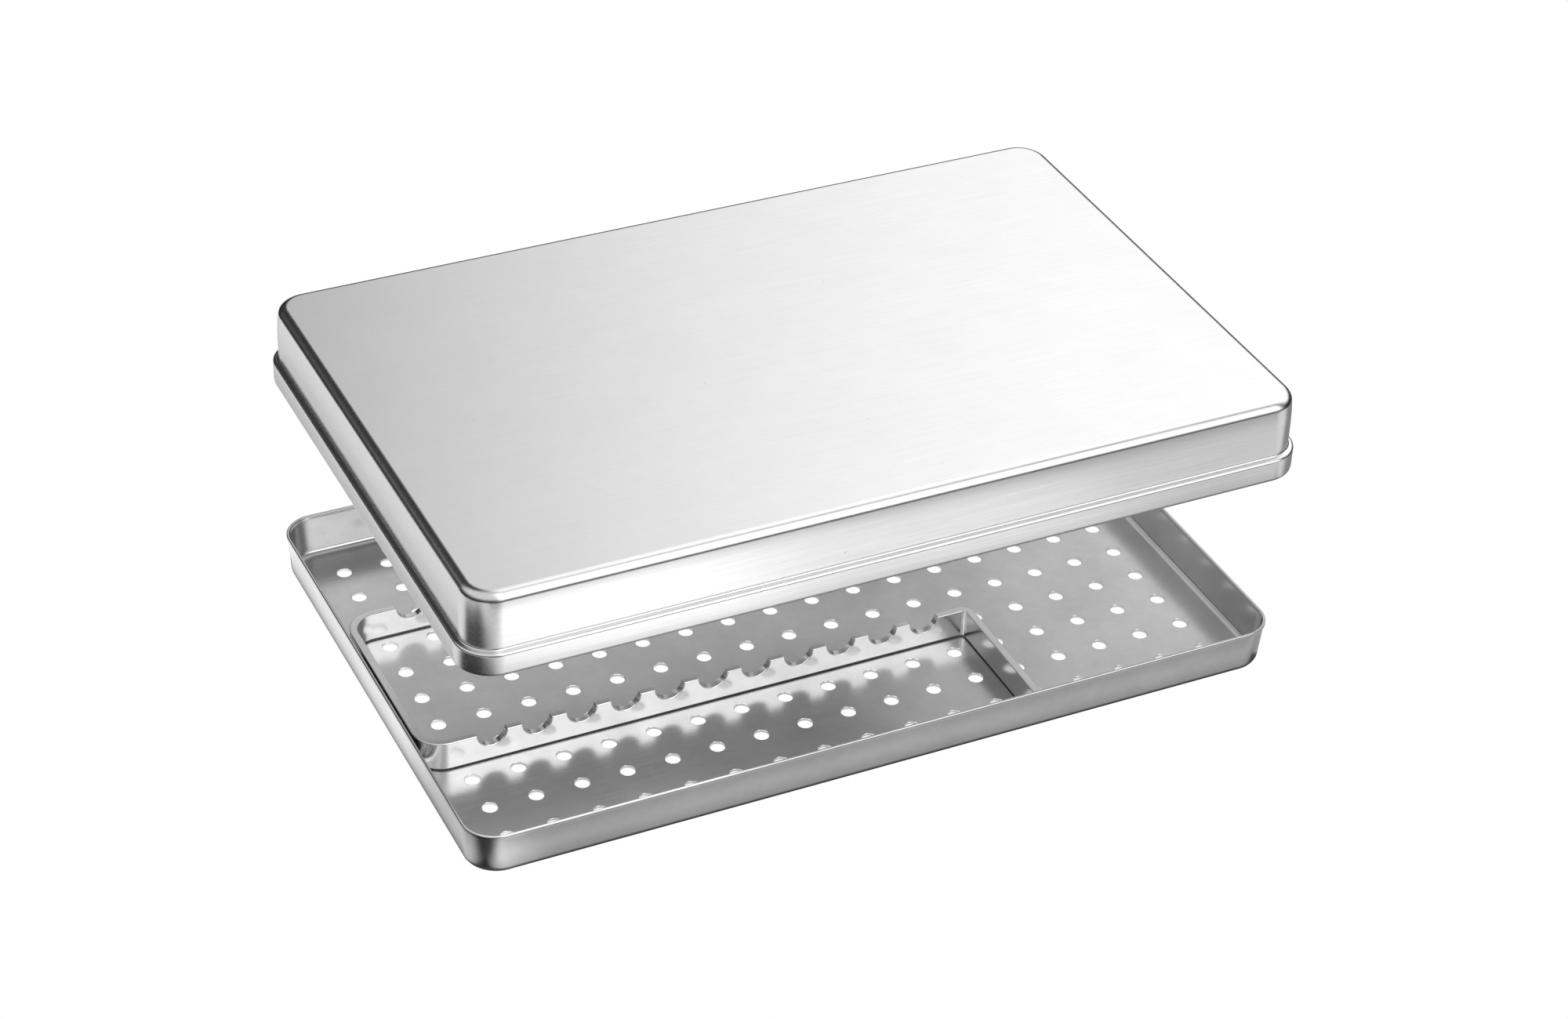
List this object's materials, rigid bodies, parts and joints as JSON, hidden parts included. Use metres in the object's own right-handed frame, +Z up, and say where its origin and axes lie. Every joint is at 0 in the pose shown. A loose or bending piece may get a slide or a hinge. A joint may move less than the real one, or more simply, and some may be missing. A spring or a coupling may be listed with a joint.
{
  "type": "dental instrument tray",
  "caption": "Shallow perforated rectangular steel tray with a bent notched bar that keeps hand instruments apart, and a stepped lid that covers it for sterilising and storage.",
  "frame": {"origin": "middle of the tray's underside, on the surface that the tray stands on", "axes": "+X along the tray's long side, towards the part with no rack; +Y along the short side, towards the rear; +Z up, the way the lid lifts"},
  "size_m": [0.2864, 0.1854, 0.1057],
  "materials": {
    "tray_steel": "satin, electropolished stainless steel",
    "rack_steel": "bright polished stainless steel bar",
    "lid_steel": "bright satin stainless steel"
  },
  "bodies": {
    "tray": {"tray_base": "tray_steel"},
    "rack": {"instrument_rack": "rack_steel"},
    "cover": {"lid": "lid_steel"}
  },
  "joints": [
    {"name": "lid_lift", "type": "slide", "parent": "tray", "child": "cover", "axis": [0, 0, 1], "range_m": [-0.069, 0.1]},
    {"name": "rack_slide", "type": "slide", "parent": "tray", "child": "rack", "axis": [1, 0, 0], "range_m": [0, 0.077]}
  ]
}
